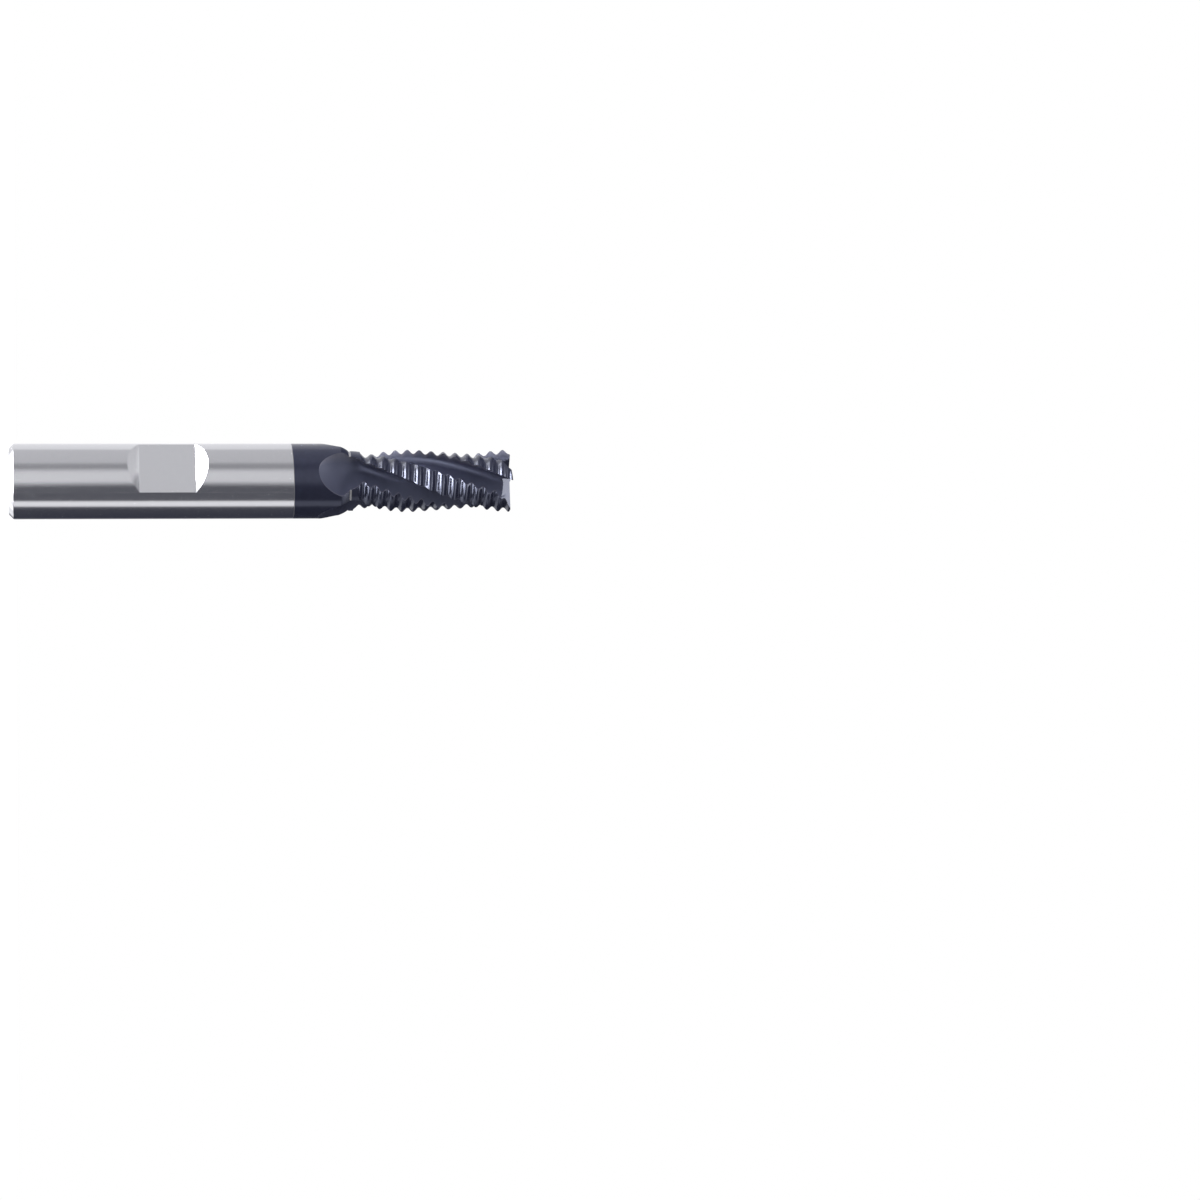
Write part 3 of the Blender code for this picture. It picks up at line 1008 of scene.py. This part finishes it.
def ramp(tree, value, stops):
    """Colour ramp of grey levels at the given positions."""
    made = node(tree, "ShaderNodeValToRGB")
    elements = made.color_ramp.elements
    for number, (position, level) in enumerate(stops):
        stop = elements[number] if number < 2 else elements.new(1.0)
        stop.position = position
        stop.color = (level, level, level, 1.0)
    feed(tree, made.inputs[0], value)
    return made.outputs[0]


def wall_level(tree, x, y, z):
    """Level of the walls in a ray's direction, fading out towards their top."""
    compass = math_node(tree, 'ARCTAN2', y, x)
    share = math_node(tree, 'MULTIPLY_ADD', compass, 1 / (2 * math.pi), 0.5)
    walls = ramp(tree, share, [((angle + 180) / 360, level) for angle, level in WALLS])
    climb = math_node(tree, 'DIVIDE', z, WALL_TOP, clamp=True)
    lower = math_node(tree, 'SUBTRACT', 1.0, math_node(tree, 'POWER', climb, 2.0))
    return math_node(tree, 'MULTIPLY', walls, lower)


def glow_level(tree, direction):
    """Level of the glow over the cutting end, which is weaker behind the tool."""
    stops = [(math.cos(math.radians(angle)), share) for angle, share in GLOW]
    glow = ramp(tree, nearness(tree, direction, *GLOW_PLACE), stops)
    levels = (GLOW_LEVEL * GLOW_BEHIND, GLOW_LEVEL)
    front = map_range(tree, nearness(tree, direction, *FRONT), FRONT_FADE, levels)
    return math_node(tree, 'MULTIPLY', glow, front)


def panel_level(tree, direction, climb, compass, full, fade, level):
    """Level of a round panel with a soft edge."""
    span = (math.cos(math.radians(full + fade)), math.cos(math.radians(full)))
    near = nearness(tree, direction, climb, compass)
    return map_range(tree, near, span, (0.0, level), 'SMOOTHSTEP')


def background(tree, colour, level):
    made = node(tree, "ShaderNodeBackground")
    feed(tree, made.inputs["Color"], colour)
    feed(tree, made.inputs["Strength"], level)
    return made.outputs[0]


def make_world():
    world = bpy.data.worlds.new("studio")
    bpy.context.scene.world = world
    world.use_nodes = True
    world.cycles.sampling_method = 'NONE'
    tree = world.node_tree
    tree.nodes.remove(tree.nodes["Background"])
    direction = node(tree, "ShaderNodeTexCoord").outputs["Generated"]
    split = node(tree, "ShaderNodeSeparateXYZ")
    feed(tree, split.inputs[0], direction)
    level = wall_level(tree, *split.outputs)
    level = math_node(tree, 'ADD', level, glow_level(tree, direction))
    for settings in PANELS:
        level = math_node(tree, 'ADD', level, panel_level(tree, direction, *settings))
    air = background(tree, AIR_COLOUR, AIR_LEVEL)
    room = add_shaders(tree, background(tree, ROOM_COLOUR, level), air)
    even = background(tree, WHITE, EVEN_LIGHT)
    path = node(tree, "ShaderNodeLightPath")
    seen = mix_shaders(tree, path.outputs["Is Diffuse Ray"], room, even)
    seen = mix_shaders(tree, path.outputs["Is Camera Ray"], seen, background(tree, WHITE, 1.0))
    feed(tree, tree.nodes["World Output"].inputs["Surface"], seen)
    return world


world = make_world()
print("world", world.name, "with", len(PANELS), "panels")

# %% [markdown]
# ## The table
#
# The table is pale and keeps the tool's soft shadow. Camera rays get a little light of its
# own from it, which makes its lit parts white, and away from the tool it turns into the
# same white as the air, so that no edge shows. Mirror rays don't see it.

# %% Table
FLOOR_SIZE = 6.0
FLOOR_COLOUR = (0.86, 0.86, 0.86, 1.0)
FLOOR_ROUGH = 0.9
FLOOR_SHINE = 0.1
FLOOR_LIFT = 0.38
FLOOR_FADE = (0.06, 0.24)


def emission(tree, strength):
    made = node(tree, "ShaderNodeEmission")
    feed(tree, made.inputs["Strength"], strength)
    return made.outputs[0]


def make_table_material():
    material = bpy.data.materials.new("white_table")
    material.use_nodes = True
    tree = material.node_tree
    shader = tree.nodes["Principled BSDF"]
    feed(tree, shader.inputs["Base Color"], FLOOR_COLOUR)
    feed(tree, shader.inputs["Roughness"], FLOOR_ROUGH)
    feed(tree, shader.inputs["Specular IOR Level"], FLOOR_SHINE)
    place = node(tree, "ShaderNodeTexCoord").outputs["Object"]
    distance = node(tree, "ShaderNodeVectorMath", operation='LENGTH')
    feed(tree, distance.inputs[0], place)
    away = map_range(tree, distance.outputs["Value"], FLOOR_FADE, (0.0, 1.0), 'SMOOTHSTEP')
    camera_ray = node(tree, "ShaderNodeLightPath").outputs["Is Camera Ray"]
    lift = emission(tree, math_node(tree, 'MULTIPLY', camera_ray, FLOOR_LIFT))
    near = add_shaders(tree, shader.outputs[0], lift)
    share = math_node(tree, 'MULTIPLY', camera_ray, away)
    surface = mix_shaders(tree, share, near, emission(tree, 1.0))
    feed(tree, tree.nodes["Material Output"].inputs["Surface"], surface)
    return material


def make_floor():
    bpy.ops.mesh.primitive_plane_add(size=FLOOR_SIZE, location=(0, 0, 0))
    floor = bpy.context.object
    floor.name = "floor"
    floor.visible_glossy = False
    floor.visible_shadow = False
    floor.data.materials.append(make_table_material())
    return floor


floor = make_floor()
print("table", FLOOR_SIZE, "m wide")

# %% [markdown]
# ## The lamp
#
# One wide soft lamp hangs above, in front and to one side. It gives dull surfaces their
# light and shade, and the table its soft shadow. Mirror rays don't see it.

# %% Lamp
LAMP_PLACE = Vector((-0.26, -0.22, 0.30))
LAMP_AIM = Vector((0, 0, 0.03))
LAMP_SIZE = 0.45
LAMP_POWER = 1.9


def make_lamp():
    bpy.ops.object.light_add(type='AREA', location=LAMP_PLACE)
    lamp = bpy.context.object
    lamp.name = "overhead"
    lamp.data.size = LAMP_SIZE
    lamp.data.energy = LAMP_POWER
    lamp.rotation_euler = (LAMP_AIM - LAMP_PLACE).to_track_quat('-Z', 'Y').to_euler()
    lamp.visible_glossy = False
    return lamp


lamp = make_lamp()
print("lamp", lamp.name, LAMP_POWER, "W")

# %% [markdown]
# ## Last steps
#
# The finished tool rides on the one body of the part and stands for the plain imported
# node, which is hidden. Colours are shown through the Standard view transform.

# %% Ride and finish
bpy.context.scene.view_settings.view_transform = 'Standard'

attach(mill, "root")
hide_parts(NODE)
